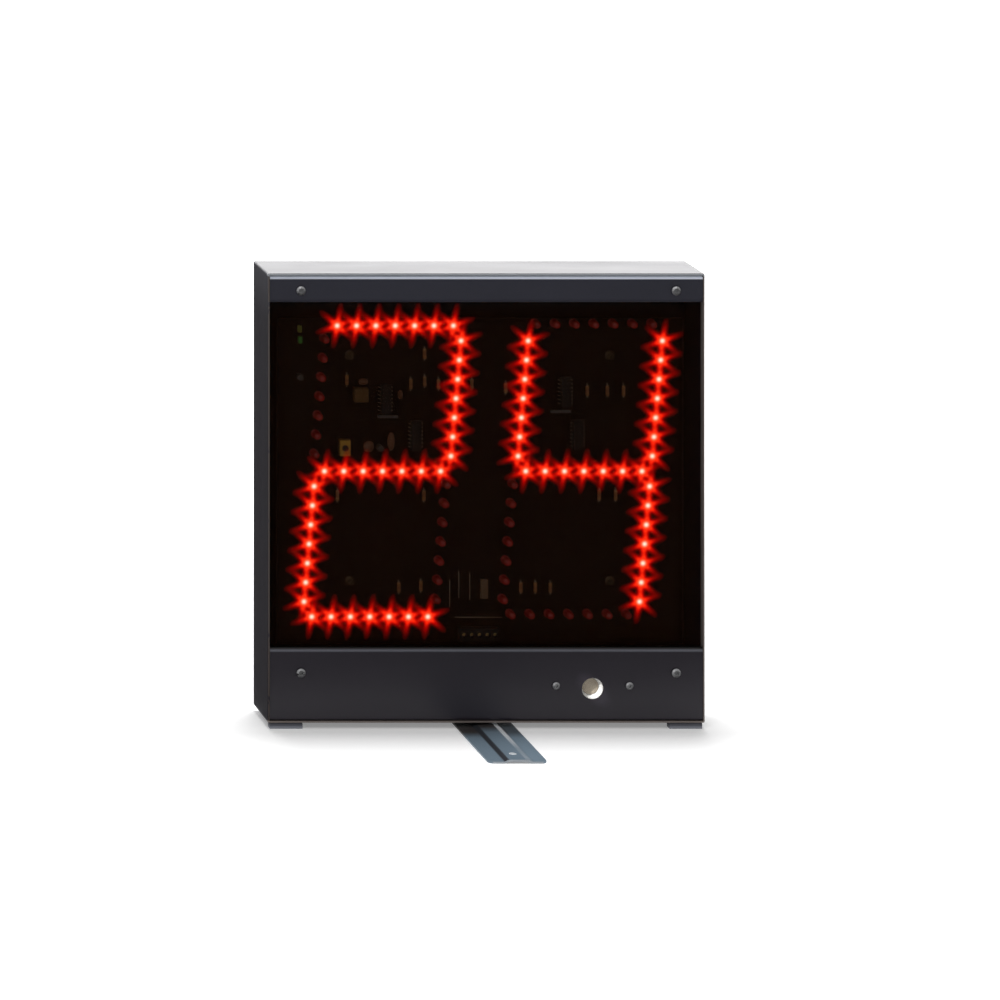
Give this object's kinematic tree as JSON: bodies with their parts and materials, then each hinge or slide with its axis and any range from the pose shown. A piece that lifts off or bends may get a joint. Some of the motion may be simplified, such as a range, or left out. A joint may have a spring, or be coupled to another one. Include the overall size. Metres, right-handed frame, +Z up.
{
  "type": "shot clock",
  "caption": "Sports shot clock: shallow folded sheet case, smoked window over two LED seven-segment digits, sounder in the lower panel, swivelling sheet foot and pads underneath.",
  "frame": {"origin": "on the floor under the middle of the case, on the axis of the swivelling foot", "axes": "+Z up, the digits face -Y, +X to the right of someone who reads them"},
  "size_m": [0.286, 0.1924, 0.298],
  "materials": {
    "case_paint": "satin anthracite",
    "window": "smoked, clear",
    "steel": "bright zinced",
    "board": "dark circuit board",
    "chip": "moulded black",
    "amber": "dipped amber",
    "cream": "moulded cream",
    "sounder_case": "moulded white",
    "sounder_disc": "dull",
    "pad": "matt",
    "black_plastic": "moulded black",
    "zinc": "blue passivated zinc"
  },
  "bodies": {
    "case": {"case_shell": "case_paint", "upper_front_strip": "case_paint", "lower_front_panel": "case_paint", "window": "window", "corner_screw_top_left": "steel", "corner_screw_top_right": "steel", "corner_screw_bottom_left": "steel", "corner_screw_bottom_right": "steel", "corner_spacer_top_left": "steel", "corner_spacer_top_right": "steel", "corner_spacer_bottom_left": "steel", "corner_spacer_bottom_right": "steel", "front_pillar_top_left": "steel", "front_pillar_top_right": "steel", "front_pillar_bottom_left": "steel", "front_pillar_bottom_right": "steel", "pillar_screw_top_left": "steel", "pillar_screw_top_right": "steel", "pillar_screw_bottom_left": "steel", "pillar_screw_bottom_right": "steel", "board_standoff_top_left": "steel", "board_standoff_top_right": "steel", "board_standoff_bottom_left": "steel", "board_standoff_bottom_right": "steel", "board_screw_top_left": "steel", "board_screw_top_right": "steel", "board_screw_bottom_left": "steel", "board_screw_bottom_right": "steel", "wall_insert_top_left": "steel", "wall_insert_top_right": "steel", "wall_insert_bottom_left": "steel", "wall_insert_bottom_right": "steel", "display_board": "board", "control_board": "board", "driver_chip_1": "chip", "driver_chip_2": "chip", "driver_chip_3": "chip", "driver_chip_4": "chip", "box_capacitor": "amber", "trimmer": "cream", "board_connector": "cream", "control_rail_left": "cream", "control_rail_right": "cream", "sounder_body": "sounder_case", "sounder_disc": "sounder_disc", "sounder_screw_left": "steel", "sounder_screw_right": "steel", "pivot_screw": "steel", "pivot_washer": "steel", "pivot_nut": "steel", "inlet_screw_left": "steel", "inlet_screw_right": "steel", "foot_pad_left": "pad", "foot_pad_right": "pad", "power_inlet": "black_plastic", "rocker_frame": "black_plastic", "data_socket": "black_plastic", "foot_washer": "black_plastic"},
    "foot": {"stand_foot": "zinc"},
    "rocker": {"power_rocker": "black_plastic"}
  },
  "joints": [
    {"name": "foot_swivel", "type": "hinge", "parent": "case", "child": "foot", "pos_m": [0, 0, 0.002], "axis": [0, 0, 1], "range_deg": [0, 90]},
    {"name": "rocker_tilt", "type": "hinge", "parent": "case", "child": "rocker", "pos_m": [-0.036, 0.02155, 0.03], "axis": [-1, 0, 0], "range_deg": [0, 24]}
  ]
}
